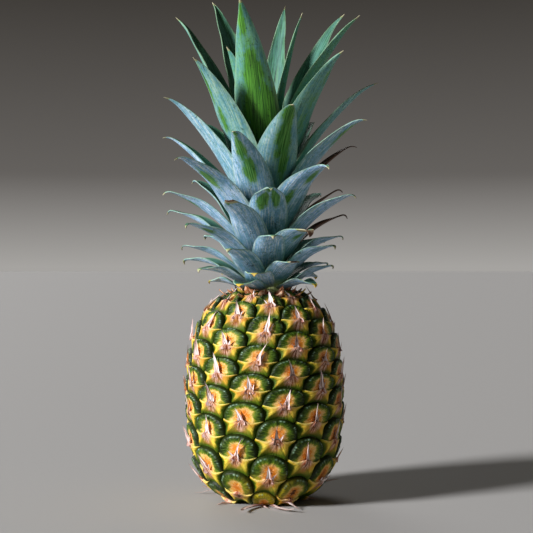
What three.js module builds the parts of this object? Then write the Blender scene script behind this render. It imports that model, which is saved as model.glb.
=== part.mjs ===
// A ripe pineapple standing on its base, as picked: the fruit with its eyes and dry bract tips, the short crown
// stem, and the leaves of the crown, each one a piece of its own.
// Millimetres, +Z up. The origin is the middle of the base, on the surface that the fruit stands on, and -Y is
// the side that is seen first.
import * as THREE from "three";

// ---------------------------------------------------------------- driving dimensions

// Fruit: its outline down in the grooves, from the middle of the base to the middle of the top, as
// [radius, height].
const FRUIT_OUTLINE = [
  [0, 0], [12, 0], [21, 0.1], [29.5, 3.2], [37, 8.8], [43.5, 16], [49, 25.5], [53, 38], [55, 52], [56, 67],
  [56.2, 82], [55.4, 97], [53.6, 112], [50.6, 125], [46.4, 135], [40.6, 143], [34, 149], [27.5, 153],
  [20, 155.6], [10, 156.4], [0, 156.6],
];
const EYES = 102; // fruitlets, numbered from the base up
const TURN = -138.05; // degrees from each eye to the next one up; leaves follow the same spiral
const FIRST_EYE_AT = -86; // degrees to the right of the front, seen from the front
const ROUND = 13; // eyes from one to the next that stands nearly straight above it
const EYE_ROUNDS = [-5, 22, 55.5, 84.5, 109, 129.5, 149, 169, 191, 210, 222]; // along it to eyes -13, 0, 13 ...
const ROW_LEAN = 3.9; // degrees by which the rows of eyes climb towards the right side
const ARCH = 1.18; // how far an eye's upper edge bows out over a straight-sided cell
const DOME_RISE = 4.1; // of an eye above the groove round it
const RIM = { at: 0.8, rise: 0.8 }; // of the dome: share of the way out to its arch, and of its rise there
const CROWN_AT = 0.42; // where the dome's top begins, as the same share
const BRACT_RISE = 3.4; // of the bract's shoulder above the same groove
const WING_AT = 0.55; // of the bract: share of the way out to the cell's side corner
const LOBE_AT = 0.52; // and to its lower corners
const TIP_LENGTH = 13; // of a dry bract tip
const TIP_WIDTH = 3;
const TIP_LIFT = 3.2; // how far a tip's point stands above its root
const SMALLEST_TIP = 3;
// Along the outline: where the eyes grow out of the flat base and lie down round the crown, and where the tips
// begin and dwindle.
const EYES_STAND = { from: 8, full: 42 };
const EYES_LIE = { from: 190, full: 209, share: 0.1 };
const TIPS_BEGIN = { from: 46, full: 60 };
const TIPS_DWINDLE = { from: 180, full: 198, share: 0.25 };

// Crown stem: it stands on the fruit and carries the leaves.
const STEM_FOOT = 157.2;
const STEM_FOOT_RADIUS = 16.5;
const STEM_TOP = 240;
const STEM_TOP_RADIUS = 1.6;
const STEM_SIDES = 16;

// Crown leaves, numbered from the lowest up. Their habit changes smoothly: height of the foot, lean
// from upright at the foot and at the blade's end, hook of the tip, length, width, and the half angle that the
// foot clasps of the stem.
const LEAVES = 58;
const FIRST_LEAF_AT = -35; // degrees to the right of the front
const LEAF_HABIT = [
  { leaf: 1, foot: 158.6, lean: 64, spread: 97, hook: 30, length: 32, width: 22, clasp: 70 },
  { leaf: 8, foot: 161.2, lean: 54, spread: 90, hook: 45, length: 44, width: 22, clasp: 66 },
  { leaf: 15, foot: 166.5, lean: 44, spread: 82, hook: 50, length: 57, width: 23, clasp: 64 },
  { leaf: 29, foot: 182, lean: 30, spread: 72, hook: 30, length: 85, width: 28, clasp: 60 },
  { leaf: 41, foot: 199, lean: 16, spread: 57, hook: 20, length: 108, width: 33, clasp: 47 },
  { leaf: 49, foot: 211, lean: 12, spread: 42, hook: 15, length: 134, width: 35, clasp: 40 },
  { leaf: 54, foot: 219, lean: 7, spread: 33, hook: 10, length: 166, width: 34, clasp: 36 },
  { leaf: 58, foot: 228, lean: 2, spread: 16, hook: 5, length: 152, width: 24, clasp: 34 },
];
// What single leaves do besides, by number: turn, spread and hook in degrees, length and width in millimetres.
const LEAF_NUDGES = {
  1: { turn: 12, length: -2 }, 3: { spread: 8 }, 4: { length: -9 }, 6: { hook: -30 },
  8: { spread: -12, length: -4 }, 11: { hook: -20 }, 12: { spread: 5, length: 9 }, 13: { length: -12 },
  14: { turn: 6, hook: -30 }, 16: { spread: -4, length: -4 }, 17: { length: -6 },
  19: { turn: 6, spread: 4, hook: -35 }, 21: { length: -15 }, 24: { spread: 16, length: -6, hook: 50 },
  25: { spread: 2, length: 8 }, 26: { length: -8, width: -14 }, 27: { turn: 4, hook: -20 },
  29: { length: -7 }, 30: { length: -5 }, 32: { turn: -4, spread: 14, length: -6, hook: -20, width: 2 },
  34: { spread: -4, length: -28, width: -17 }, 35: { spread: 4, length: 7 },
  37: { turn: -2, spread: 12, length: -10 }, 38: { spread: -4, length: 10 },
  39: { spread: 2, length: 6, width: -18 }, 40: { length: -6 }, 42: { turn: 3, spread: 4, length: 3 },
  43: { spread: -6, length: 9 }, 45: { turn: 2, spread: 7, length: -8, width: 3 }, 46: { length: -24 },
  47: { spread: 4, length: 11 }, 48: { spread: -4, length: 2 }, 50: { turn: 10, spread: 3, length: -3 },
  51: { turn: -18, spread: -5, length: 30 }, 52: { turn: 3, spread: -1, length: 30 },
  53: { turn: -4, width: 4 }, 54: { turn: 6, spread: -2, length: 22 }, 55: { turn: 0, spread: 10, length: -2 },
  56: { turn: 22, length: -40 }, 57: { turn: 4, spread: 2, length: 10, width: -3 },
  58: { turn: 50, spread: -1, length: -10, width: -9 },
};
const LEAF_SCATTER = { turn: 2.5, spread: 3, length: 3 }; // seeded, on top of the habit
const LEAF_THICKNESS = [1.5, 1.0]; // along the midrib, at the foot and near the tip
const EDGE_THICKNESS = 0.65;
const CHANNEL = 1.4; // radius of the blade's channel, in half widths
const STEM_GAP = 0.5;
const SHOULDER = 0.36; // share of the blade's length where it is widest
const HOOK_FROM = 0.86; // and where its tip begins to hook
const ROW_SHARES = [-1, -0.5, 0, 0.5, 1]; // places across a blade, in half widths

// ---------------------------------------------------------------- helpers

const rad = THREE.MathUtils.degToRad;
const mix = THREE.MathUtils.lerp;
const smooth = THREE.MathUtils.smoothstep;

// A seeded draw from -1 to 1 that depends only on the piece's number and what it is for.
function draw(number, purpose) {
  const wave = Math.sin(number * 127.1 + purpose * 311.7) * 43758.5453;
  return 2 * (wave - Math.floor(wave)) - 1;
}

// An azimuth counted from the front (-Y) towards the right (+X), a radius and a height as a point.
function around(azimuth, radius, height) {
  return new THREE.Vector3(radius * Math.sin(azimuth), -radius * Math.cos(azimuth), height);
}

// The turn between two pieces of the spiral that are `steps` apart, as the short way round.
function turnOver(steps) {
  return rad(THREE.MathUtils.euclideanModulo(TURN * steps + 180, 360) - 180);
}

function meshOf(name, points, triangles, material) {
  const geometry = new THREE.BufferGeometry().setFromPoints(points).setIndex(triangles.flat());
  geometry.computeVertexNormals();
  const mesh = new THREE.Mesh(geometry, material);
  mesh.name = name;
  return mesh;
}

// ---------------------------------------------------------------- fruit

const outline = new THREE.SplineCurve(FRUIT_OUTLINE.map((point) => new THREE.Vector2(...point)));
outline.arcLengthDivisions = 1000;
const outlineLength = outline.getLength();

// A point on the fruit, `rise` above the level of the grooves. Rows lean towards the right side, and the base
// is flat where the fruit stands.
function onFruit({ azimuth, along }, rise) {
  const share = THREE.MathUtils.clamp(along / outlineLength, 0, 1);
  const aside = outline.getPointAt(share).x * Math.sin(azimuth) * Math.sin(Math.PI * share);
  const leaned = THREE.MathUtils.clamp(share + Math.tan(rad(ROW_LEAN)) * aside / outlineLength, 0, 1);
  const spot = outline.getPointAt(leaned);
  const slope = outline.getTangentAt(leaned);
  return around(azimuth, spot.x + rise * slope.y, Math.max(spot.y - rise * slope.x, 0));
}

// How far along the outline an eye's middle lies, by a smooth curve through every 13th eye.
const rounds = new THREE.SplineCurve(EYE_ROUNDS.map((along, round) => new THREE.Vector2(round, along)));
function eyeAlong(number) {
  return rounds.getPoint((number / ROUND + 1) / (EYE_ROUNDS.length - 1)).y;
}

function eyeAzimuth(number) {
  return rad(FIRST_EYE_AT + TURN * number);
}

// The share of its full size that something reaches at a place along the outline.
function growth(along, rise, fall) {
  return smooth(along, rise.from, rise.full) * mix(1, fall.share, smooth(along, fall.from, fall.full));
}

// A place near an eye, as the mean of eyes that are `steps` further on, or a mix of such means.
function beside(number, ...steps) {
  const azimuth = eyeAzimuth(number) + steps.reduce((sum, step) => sum + turnOver(step), 0) / steps.length;
  const along = steps.reduce((sum, step) => sum + eyeAlong(number + step), 0) / steps.length;
  return { azimuth, along };
}

function blend(from, to, share) {
  return { azimuth: mix(from.azimuth, to.azimuth, share), along: mix(from.along, to.along, share) };
}

// The corners of an eye's cell. Each is shared with the two eyes that meet this one there.
const CORNER_STEPS = {
  left: [-5, 0, 8], upperLeft: [0, 8, 13], upperRight: [0, 5, 13], right: [-8, 0, 5],
  lowerLeft: [-13, -5, 0], lowerRight: [-13, -8, 0],
};
const corner = (number, name) => beside(number, ...CORNER_STEPS[name]);

// The five places along an eye's arch, from left to right: its two upper corners, and where its upper edge bows
// out on each side of them. The eye lends them to its neighbours above.
function archPlace(number, k) {
  if (k === 1) return corner(number, "upperLeft");
  if (k === 3) return corner(number, "upperRight");
  const [from, to] = { 0: ["left", "upperLeft"], 2: ["upperLeft", "upperRight"], 4: ["upperRight", "right"] }[k];
  return blend(beside(number, 0), blend(corner(number, from), corner(number, to), 0.5), ARCH);
}

// Triangles between an upper and a lower row of points that both run from left to right, each with the shorter
// diagonal.
function stitch(upper, lower, points) {
  const triangles = [];
  const gap = (a, b) => points[a].distanceTo(points[b]);
  let i = 0;
  let j = 0;
  while (i < upper.length - 1 || j < lower.length - 1) {
    const upperStep = j === lower.length - 1
      || (i < upper.length - 1 && gap(upper[i + 1], lower[j]) <= gap(upper[i], lower[j + 1]));
    const triangle = upperStep ? [upper[i], lower[j], upper[i + 1]] : [upper[i], lower[j], lower[j + 1]];
    if (new Set(triangle).size === 3) triangles.push(triangle);
    if (upperStep) i += 1;
    else j += 1;
  }
  return triangles;
}

function makeFruit() {
  const points = [];
  const triangles = [];
  const grooves = new Map();

  const add = (place, rise) => points.push(onFruit(place, rise)) - 1;

  // A point down in the groove over an eye's arch. All the eyes that meet there share it.
  const grooveOf = (number, k) => {
    const key = `${number}:${k}`;
    if (!grooves.has(key)) grooves.set(key, add(archPlace(number, k), 0));
    return grooves.get(key);
  };

  const addEye = (number) => {
    const middle = beside(number, 0);
    const below = beside(number, -13);
    const [left, right] = [corner(number, "left"), corner(number, "right")];
    const stand = growth(middle.along, EYES_STAND, EYES_LIE);
    const dome = DOME_RISE * stand * (1 + 0.08 * draw(number, 1));
    const bract = BRACT_RISE * stand * (1 + 0.06 * draw(number, 2));
    const towards = (place, share) => blend(middle, place, share);

    // The grooves round the eye: its own above, and those of the three eyes below it.
    const leftCorner = grooveOf(number - 5, 3);
    const rightCorner = grooveOf(number - 8, 1);
    const upperEdge = [0, 1, 2, 3, 4].map((k) => grooveOf(number, k));
    const lowerEdge = [
      grooveOf(number - 5, 4), grooveOf(number - 13, 1), grooveOf(number - 13, 2), grooveOf(number - 13, 3),
      grooveOf(number - 8, 0),
    ];

    // The dome: a steep rim inside the arch, a flat crown, and the foot that goes in behind the bract.
    const arch = [0, 1, 2, 3, 4].map((k) => archPlace(number, k));
    const leftEnd = add(towards(left, RIM.at), 0.55 * dome);
    const rightEnd = add(towards(right, RIM.at), 0.55 * dome);
    const rim = arch.map((place) => add(towards(place, RIM.at), RIM.rise * dome));
    const crown = arch.map((place) => add(towards(place, CROWN_AT), dome));
    const foot = add(towards(arch[2], 0.08), 0.86 * dome);

    // The bract: two wings, a front between the domes below, and the root of its dry tip.
    const root = towards(below, 0.08);
    const wing = (side) => add(blend(towards(side, WING_AT), towards(below, WING_AT), 0.12), 0.9 * bract);
    const [wingLeft, wingRight] = [wing(left), wing(right)];
    const tipHalf = 0.5 * TIP_WIDTH / onFruit(middle, 0).setZ(0).length();
    const rootLeft = add({ azimuth: root.azimuth - tipHalf, along: root.along - 1 }, bract);
    const rootRight = add({ azimuth: root.azimuth + tipHalf, along: root.along - 1 }, bract);
    const rootTop = add({ azimuth: root.azimuth, along: root.along + 1.3 }, bract);
    const front = [
      add(towards(corner(number, "lowerLeft"), LOBE_AT), 0.72 * bract), add(towards(below, 0.22), 0.9 * bract),
      add(towards(corner(number, "lowerRight"), LOBE_AT), 0.72 * bract),
    ];

    const rows = [
      [leftCorner, ...upperEdge, rightCorner],
      [leftCorner, leftEnd, ...rim, rightEnd, rightCorner],
      [leftCorner, leftEnd, ...crown, rightEnd, rightCorner],
      [leftCorner, leftEnd, crown[0], foot, crown[4], rightEnd, rightCorner],
      [leftCorner, wingLeft, rootLeft, rootTop, rootRight, wingRight, rightCorner],
    ];
    for (let k = 1; k < rows.length; k += 1) triangles.push(...stitch(rows[k - 1], rows[k], points));
    const face = [leftCorner, ...front, rightCorner];
    const ridge = [leftCorner, wingLeft, rootLeft, rootRight, wingRight, rightCorner];
    triangles.push(...stitch(ridge, face, points));
    triangles.push(...stitch(face, [leftCorner, ...lowerEdge, rightCorner], points));
    addTip(number, [rootLeft, rootRight, rootTop], root, bract);
  };

  // The dry tip of a bract grows out of the three points of its root and lies up over the eye.
  const addTip = (number, rootRing, root, bract) => {
    const length = TIP_LENGTH * (1 + 0.2 * draw(number, 3)) * growth(root.along, TIPS_BEGIN, TIPS_DWINDLE);
    if (length < SMALLEST_TIP) {
      triangles.push(rootRing);
      return;
    }
    const sway = 0.3 * draw(number, 4) * length / onFruit(root, 0).setZ(0).length();
    const lift = TIP_LIFT * (1 + 0.4 * draw(number, 5)) * length / TIP_LENGTH;
    const point = add({ azimuth: root.azimuth + sway, along: root.along + length }, bract + lift);
    rootRing.forEach((index, k) => triangles.push([index, rootRing[(k + 1) % 3], point]));
  };

  for (let number = 0; number < EYES; number += 1) addEye(number);

  // The open edges round the base and the top are closed by a fan each.
  const edges = new Map();
  for (const [a, b, c] of triangles) {
    for (const [from, to] of [[a, b], [b, c], [c, a]]) edges.set(`${from},${to}`, [from, to]);
  }
  const bottom = points.push(new THREE.Vector3(0, 0, 0)) - 1;
  const top = points.push(new THREE.Vector3(0, 0, FRUIT_OUTLINE.at(-1)[1])) - 1;
  for (const [from, to] of edges.values()) {
    if (edges.has(`${to},${from}`)) continue;
    triangles.push([to, from, points[from].z < 0.5 * STEM_FOOT ? bottom : top]);
  }

  const skin = new THREE.MeshStandardMaterial({ color: 0xb89532, roughness: 0.6, metalness: 0 });
  return meshOf("fruit", points, triangles, skin);
}

// ---------------------------------------------------------------- crown

function stemRadius(height) {
  return mix(STEM_FOOT_RADIUS, STEM_TOP_RADIUS, (height - STEM_FOOT) / (STEM_TOP - STEM_FOOT));
}

function makeStem() {
  const material = new THREE.MeshStandardMaterial({ color: 0xc9cfa0, roughness: 0.7, metalness: 0 });
  const points = [new THREE.Vector3(0, 0, STEM_FOOT), new THREE.Vector3(0, 0, STEM_TOP + STEM_TOP_RADIUS)];
  const triangles = [];
  for (let side = 0; side < STEM_SIDES; side += 1) {
    const azimuth = 2 * Math.PI * side / STEM_SIDES;
    points.push(around(azimuth, STEM_FOOT_RADIUS, STEM_FOOT), around(azimuth, STEM_TOP_RADIUS, STEM_TOP));
    const [low, high] = [2 + 2 * side, 3 + 2 * side];
    const [nextLow, nextHigh] = [2 + 2 * ((side + 1) % STEM_SIDES), 3 + 2 * ((side + 1) % STEM_SIDES)];
    triangles.push([0, nextLow, low], [low, nextLow, nextHigh], [low, nextHigh, high], [1, high, nextHigh]);
  }
  return meshOf("crown_stem", points, triangles, material);
}

// The habit of a leaf, worked out between the stated leaves.
function leafHabit(number) {
  const next = Math.max(LEAF_HABIT.findIndex((row) => row.leaf >= number), 1);
  const [from, to] = [LEAF_HABIT[next - 1], LEAF_HABIT[next]];
  const part = (number - from.leaf) / (to.leaf - from.leaf);
  const habit = {};
  for (const key of Object.keys(from)) habit[key] = mix(from[key], to[key], part);
  habit.turn = FIRST_LEAF_AT + TURN * (number - 1);
  Object.entries(LEAF_NUDGES[number] ?? {}).forEach(([key, nudge]) => { habit[key] += nudge; });
  Object.entries(LEAF_SCATTER).forEach(([key, most], k) => { habit[key] += most * draw(number, 11 + k); });
  return habit;
}

function bladeHalfWidth(habit, share) {
  const swell = 0.82 + 0.18 * Math.sin(0.5 * Math.PI * Math.min(share / SHOULDER, 1));
  const beyond = Math.max(share - SHOULDER, 0) / (1 - SHOULDER);
  return 0.5 * habit.width * swell * (1 - beyond ** mix(2.3, 1.7, habit.leaf / LEAVES));
}

// The midrib in its own upright plane: [radius, height, lean] at `steps` + 1 places from foot to tip.
function midrib(habit, steps) {
  const fine = 12;
  const route = [];
  let radius = stemRadius(habit.foot) + STEM_GAP + 0.5 * LEAF_THICKNESS[0];
  let height = habit.foot;
  for (let k = 0; k <= steps * fine; k += 1) {
    const share = k / (steps * fine);
    const lean = rad(mix(habit.lean, habit.spread, share ** 0.8) + habit.hook * smooth(share, HOOK_FROM, 1));
    if (k % fine === 0) route.push({ radius, height, lean, share });
    radius += Math.sin(lean) * habit.length / (steps * fine);
    height += Math.cos(lean) * habit.length / (steps * fine);
  }
  return route;
}

function makeLeaf(number, material) {
  const habit = leafHabit(number);
  const azimuth = rad(habit.turn);
  const steps = Math.round(mix(5, 8, number / LEAVES));
  const route = midrib(habit, steps);
  const side = new THREE.Vector3(Math.cos(azimuth), Math.sin(azimuth), 0);
  const points = [];
  const rings = route.slice(0, -1).map(({ radius, height, lean, share }) => {
    const inward = around(azimuth, -Math.cos(lean), Math.sin(lean));
    const middle = around(azimuth, radius, height);
    const shell = radius / Math.max(Math.cos(lean), 0.15);
    let half = bladeHalfWidth(habit, share);
    const channel = 1 / mix(1 / shell, 1 / (CHANNEL * half), smooth(share, 0.2, 0.6));
    half = Math.min(half, channel * rad(mix(habit.clasp, 72, smooth(share, 0, 0.35))));
    const thickness = mix(...LEAF_THICKNESS, share);
    const ring = ROW_SHARES.map((place) => {
      const angle = place * half / channel;
      const normal = inward.clone().multiplyScalar(Math.cos(angle)).addScaledVector(side, -Math.sin(angle));
      const spot = middle.clone().addScaledVector(side, channel * Math.sin(angle))
        .addScaledVector(inward, channel * (1 - Math.cos(angle)));
      const thick = mix(thickness, EDGE_THICKNESS, place * place);
      return [0.5, -0.5].map((out) => spot.clone().addScaledVector(normal, out * thick));
    });
    const first = points.length;
    points.push(...ring.map((pair) => pair[0]), ...ring.map((pair) => pair[1]).reverse());
    return first;
  });
  const last = route.at(-1);
  const tip = points.push(around(azimuth, last.radius, last.height)) - 1;
  const size = 2 * ROW_SHARES.length;
  const triangles = [];
  for (let k = 0; k < rings.length - 1; k += 1) {
    for (let j = 0; j < size; j += 1) {
      const n = (j + 1) % size;
      const [a, b, c, d] = [rings[k] + j, rings[k] + n, rings[k + 1] + j, rings[k + 1] + n];
      // Both faces are split alike, so that they stay apart where the blade bends.
      if (j < ROW_SHARES.length) triangles.push([a, d, b], [a, c, d]);
      else triangles.push([a, c, b], [b, c, d]);
    }
  }
  const end = rings.at(-1);
  for (let j = 0; j < size; j += 1) triangles.push([end + ((j + 1) % size), end + j, tip]);
  for (let j = 0; j < ROW_SHARES.length - 1; j += 1) {
    const [a, b] = [rings[0] + j, rings[0] + j + 1];
    const [c, d] = [rings[0] + size - 1 - j, rings[0] + size - 2 - j];
    triangles.push([a, b, c], [b, d, c]);
  }
  return meshOf(`crown_leaf_${String(number).padStart(2, "0")}`, points, triangles, material);
}

// ---------------------------------------------------------------- assembly

const group = new THREE.Group();
group.add(makeFruit(), makeStem());
const leafMaterial = new THREE.MeshStandardMaterial({ color: 0x7f9c86, roughness: 0.55, metalness: 0 });
for (let number = 1; number <= LEAVES; number += 1) group.add(makeLeaf(number, leafMaterial));

export default group;
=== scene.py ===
"""A ripe pineapple with its crown, on a pale floor. Sizes are millimetres until MM makes them metres."""
import math
from functools import partial

import bpy
import numpy as np
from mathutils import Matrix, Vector


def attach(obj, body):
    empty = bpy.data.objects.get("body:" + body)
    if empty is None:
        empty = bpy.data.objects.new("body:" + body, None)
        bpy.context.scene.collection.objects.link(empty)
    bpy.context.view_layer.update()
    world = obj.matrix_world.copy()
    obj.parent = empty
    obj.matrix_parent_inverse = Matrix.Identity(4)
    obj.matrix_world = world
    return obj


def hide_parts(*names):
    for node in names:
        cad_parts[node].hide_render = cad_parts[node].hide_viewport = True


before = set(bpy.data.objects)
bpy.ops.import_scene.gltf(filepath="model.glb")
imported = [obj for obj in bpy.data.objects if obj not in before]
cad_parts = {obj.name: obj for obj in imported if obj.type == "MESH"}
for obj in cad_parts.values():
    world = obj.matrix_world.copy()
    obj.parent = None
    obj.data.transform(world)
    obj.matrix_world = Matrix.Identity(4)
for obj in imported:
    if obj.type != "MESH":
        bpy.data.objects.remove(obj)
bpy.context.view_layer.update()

MM = 0.001

# ---------------- sizes of the fruit

FRUIT_OUTLINE = [  # down in the grooves, from the middle of the base to the middle of the top: radius, height
    (0, 0), (12, 0), (21, 0.1), (29.5, 3.2), (37, 8.8), (43.5, 16), (49, 25.5), (53, 38), (55, 52), (56, 67),
    (56.2, 82), (55.4, 97), (53.6, 112), (50.6, 125), (46.4, 135), (40.6, 143), (34, 149), (27.5, 153),
    (20, 155.6), (10, 156.4), (0, 156.6),
]
EYES = 102
TURN = -138.05  # degrees from each eye, or leaf, to the next one up
FIRST_EYE_AT = -86
ROUND = 13
# How far along the outline the eyes -13, 0, 13 ... are.
EYE_ROUNDS = [-5, 22, 55.5, 84.5, 109, 129.5, 149, 169, 191, 210, 222]
ROW_LEAN = 3.9
WING = 0.87  # how far a bract's wings reach towards the corners where three eyes meet
ARCH = (1.12, 1.24, 1.1)  # how far the left side, the top and the right side of an arch bow out
ARCH_SHOULDERS = (0.98, 0.9)  # how far out its left and right shoulders are, of the way to the wings above
EYES_STAND = (8, 42)  # along the outline, where the eyes begin to stand out and where they do so in full
EYES_LIE = (190, 209)  # where they lie down again, at the top

DOME_RISE = 4.1
DOME_ROOT = -1.6
DOME_MIDDLE = 0.3  # of the way from the bract's root up to the top of the arch
DOME_OVER_BRACT = 0.015  # between their flat sides under the base
RIPPLE_HEIGHT = 0.2
PLEATS = 13
PLEAT_HEIGHT = 0.13
BEADS = 21  # along one arch
BEADS_AT = 0.85  # of the way out to it
BEAD_HEIGHT = 0.4
# The rims of the lowest front eyes are yellow: how far aside, how far round, and up to which height.
SALLOW_AT = 3
SALLOW_REACH = 15
SALLOW_UP_TO = (20, 30)

BRACT_RISE = 3.4
BRACT_PLACES = 36  # steps across it, from wing to wing
BRACT_WALL = -1.0  # the depths of its back, under its top edge and inside the fruit
BRACT_BACK = -1.7
VALLEY = 1.25  # depth between a bract's lobes
BOSS = 0.7  # how much thicker it is where its dry tip begins, and how far that reaches
BOSS_REACH = 4.5

TIP_LENGTH = 13.2
TIP_WIDTH = 4.6
TIP_STRANDS = ((1, 0), (0.5, 0.5), (0.42, -0.55))  # size and lean: the main one, and those beside it
TIP_START = 2.6  # how far under the bract's middle it begins
TIPS_DWINDLE = (180, 205)
TIPS_SPREAD = (30, 58)  # along the outline, from where they stand off the fruit to where they lie on it
NO_FLOOR = -1000
FLOOR_STRANDS = [((-3, -30), (-17, -57)), ((4, -31), (21, -54)), ((-30, 20), (-49, 31))]

CORE_DEPTH = 0.45
CORE_ENDS = (0.03, 0.985)  # shares of the outline
CORE_FLOOR = 0.04
SCAR_SECTION = [(12.5, 0.9), (12.3, 0.04), (11.6, 0), (10.8, 0.03), (8, 0.05), (5, 0.04), (2, 0.05)]

# ---------------- sizes of the crown

STEM_FOOT = 157.2
STEM_FOOT_RADIUS = 16.5
STEM_TOP = 240
STEM_TOP_RADIUS = 1.6
STEM_SUNK = 1.2
LEAVES = 58
FIRST_LEAF_AT = -35
LEAF_HABIT = [  # leaf, foot, lean, spread, hook, length, width, clasp
    (1, 158.6, 64, 97, 30, 32, 22, 70),
    (8, 161.2, 54, 90, 45, 44, 22, 66),
    (15, 166.5, 44, 82, 50, 57, 23, 64),
    (29, 182, 30, 72, 30, 85, 28, 60),
    (41, 199, 16, 57, 20, 108, 33, 47),
    (49, 211, 12, 42, 15, 134, 35, 40),
    (54, 219, 7, 33, 10, 166, 34, 36),
    (58, 228, 2, 16, 5, 152, 24, 34),
]
LEAF_NUDGES = {  # by leaf
    "turn": {1: 12, 14: 6, 19: 6, 27: 4, 32: -4, 37: -2, 42: 3, 45: 2, 50: 10, 51: -18, 52: 3, 53: -4,
        54: 6, 56: 22, 57: 4, 58: 50},
    "spread": {3: 8, 8: -12, 12: 5, 16: -4, 19: 4, 24: 16, 25: 2, 32: 14, 34: -4, 35: 4, 37: 12, 38: -4,
        39: 2, 42: 4, 43: -6, 45: 7, 47: 4, 48: -4, 50: 3, 51: -5, 52: -1, 54: -2, 55: 10, 57: 2, 58: -1},
    "hook": {6: -30, 11: -20, 14: -30, 19: -35, 24: 50, 27: -20, 32: -20},
    "length": {1: -2, 4: -9, 8: -4, 12: 9, 13: -12, 16: -4, 17: -6, 21: -15, 24: -6, 25: 8, 26: -8, 29: -7,
        30: -5, 32: -6, 34: -28, 35: 7, 37: -10, 38: 10, 39: 6, 40: -6, 42: 3, 43: 9, 45: -8, 46: -24,
        47: 11, 48: 2, 50: -3, 51: 30, 52: 30, 54: 22, 55: -2, 56: -40, 57: 10, 58: -10},
    "width": {26: -14, 32: 2, 34: -17, 39: -18, 45: 3, 53: 4, 57: -3, 58: -9},
}
LEAF_SCATTER = (("turn", 2.5), ("spread", 3), ("length", 3))
LEAF_THICKNESS = (1.5, 1.0)
EDGE_THICKNESS = 0.65
CHANNEL = 1.4
CLASP_BEYOND = 72  # most degrees that half a blade curls in, above its foot
STEM_GAP = 0.5
SHOULDER = 0.36
HOOK_FROM = 0.86
CURL = 150  # degrees that the dry tip of a very short leaf curls down, and from where
CURL_FROM = 0.93
CURLED_UNDER = 130  # length from which leaves don't
BLUNT_UNTIL = (32, 36)  # the last leaf with a flat end, and the first one without
OLD_UNTIL = (5, 8)  # the last leaf with a golden tip, and the first one without
YOUNG_FROM = (36, 56)  # the last leaf that isn't young, and the first one that wholly is
TORN_TIPS = {11: 0.93, 27: 0.93}  # leaves whose dried tips broke off, and how much of them is left
# Where hands rubbed off the bloom: leaf: (share of length, place across, half length, half width, strength).
RUBBED = {
    22: [(0.7, 0.2, 0.1, 0.35, 1)],
    24: [(0.6, 0.2, 0.12, 0.3, 1)],
    27: [(0.86, -0.5, 0.05, 0.3, 0.9)],
    30: [(0.72, 0, 0.12, 0.35, 1)],
    32: [(0.68, -0.35, 0.16, 0.34, 1.4), (0.74, 0.42, 0.2, 0.28, 1.5), (0.93, 0, 0.08, 0.8, 1.1)],
    35: [(0.68, 0.1, 0.13, 0.4, 1.1)],
    37: [(0.45, -0.3, 0.12, 0.3, 0.8), (0.76, 0.1, 0.12, 0.35, 1)],
    38: [(0.5, 0.1, 0.2, 0.35, 0.7)],
    40: [(0.58, 0.1, 0.13, 0.42, 1.3), (0.78, -0.1, 0.15, 0.45, 1.2), (0.95, 0, 0.08, 0.8, 0.9)],
    42: [(0.8, 0, 0.14, 0.5, 1)],
    45: [(0.72, 0.12, 0.26, 0.48, 1.6), (0.48, 0.3, 0.16, 0.35, 1.2), (0.93, 0, 0.13, 1, 1.6)],
    47: [(0.7, 0.2, 0.14, 0.3, 1)],
    48: [(0.42, 0.2, 0.13, 0.25, 1.1), (0.6, -0.2, 0.12, 0.3, 1.2), (0.84, -0.45, 0.16, 0.3, 1.5)],
    50: [(0.6, 0, 0.2, 0.35, 0.9), (0.85, 0.3, 0.12, 0.4, 1)],
    53: [(0.46, 0.3, 0.18, 0.9, 2.1), (0.64, 0.1, 0.17, 0.6, 1.9), (0.9, -0.3, 0.13, 0.7, 1.5)],
    55: [(0.5, 0, 0.25, 0.45, 1.1)],
    57: [(0.6, 0, 0.3, 0.45, 1)],
}
DEAD = {24: 0.88, 26: 0.1, 34: 0.1, 39: 0.1}  # leaves dead from some share of their length on

COLLAR_BRACTS = 34
FIRST_COLLAR_BRACT_AT = 20
COLLAR = {  # of the outermost one and of the innermost one
    "start": (27, 17.5), "foot": (152.2, 157.0), "length": (13, 8), "width": (9, 6.5), "lean": (96, 70),
    "outward": (0.85, 0.5),
}

# ---------------- how fine the meshes are

OUTLINE_POINTS = 4001
HIDDEN_PLACES = 16
TIP_ROWS = 12
FLOOR_STRAND_ROWS = 14
CORE_ROWS, CORE_SIDES = 60, 96
SCAR_SIDES = 48
STEM_ROWS, STEM_SIDES = 24, 64
MIDRIB_STEPS = 600
BLADE_ROWS = (26, 44)  # of the lowest leaf and of the topmost one
END_ROWS = 8
BLADE_PLACES = 15
COLLAR_ROWS = 10

# ---------------- small helpers


def mix(low, high, share):
    return low + (high - low) * share


def smooth(value, low, high):
    share = np.clip((value - low) / (high - low), 0, 1)
    return share * share * (3 - 2 * share)


def draw(number, purpose):
    """A seeded draw from -1 to 1 that depends only on the piece's number and what it is for."""
    wave = math.sin(number * 127.1 + purpose * 311.7) * 43758.5453
    return 2 * (wave - math.floor(wave)) - 1


def chance(number, purpose):
    """The same draw, from 0 to 1."""
    return 0.5 + 0.5 * draw(number, purpose)


def spline(points, places):
    """A smooth curve through `points`, at `places` from 0 to 1."""
    points = np.asarray(points, float)
    last = len(points) - 1
    spot = np.asarray(places, float) * last
    index = np.clip(spot.astype(int), 0, last - 1)
    share = (spot - index)[:, None]
    before, here = points[np.maximum(index - 1, 0)], points[index]
    there, beyond = points[index + 1], points[np.minimum(index + 2, last)]
    leave, arrive = (there - before) / 2, (beyond - here) / 2
    return ((2 * here - 2 * there + leave + arrive) * share**3
            + (3 * there - 3 * here - 2 * leave - arrive) * share**2 + leave * share + here)


def circle(places):
    return np.linspace(0, 2 * np.pi, places + 1)[:-1]


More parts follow.
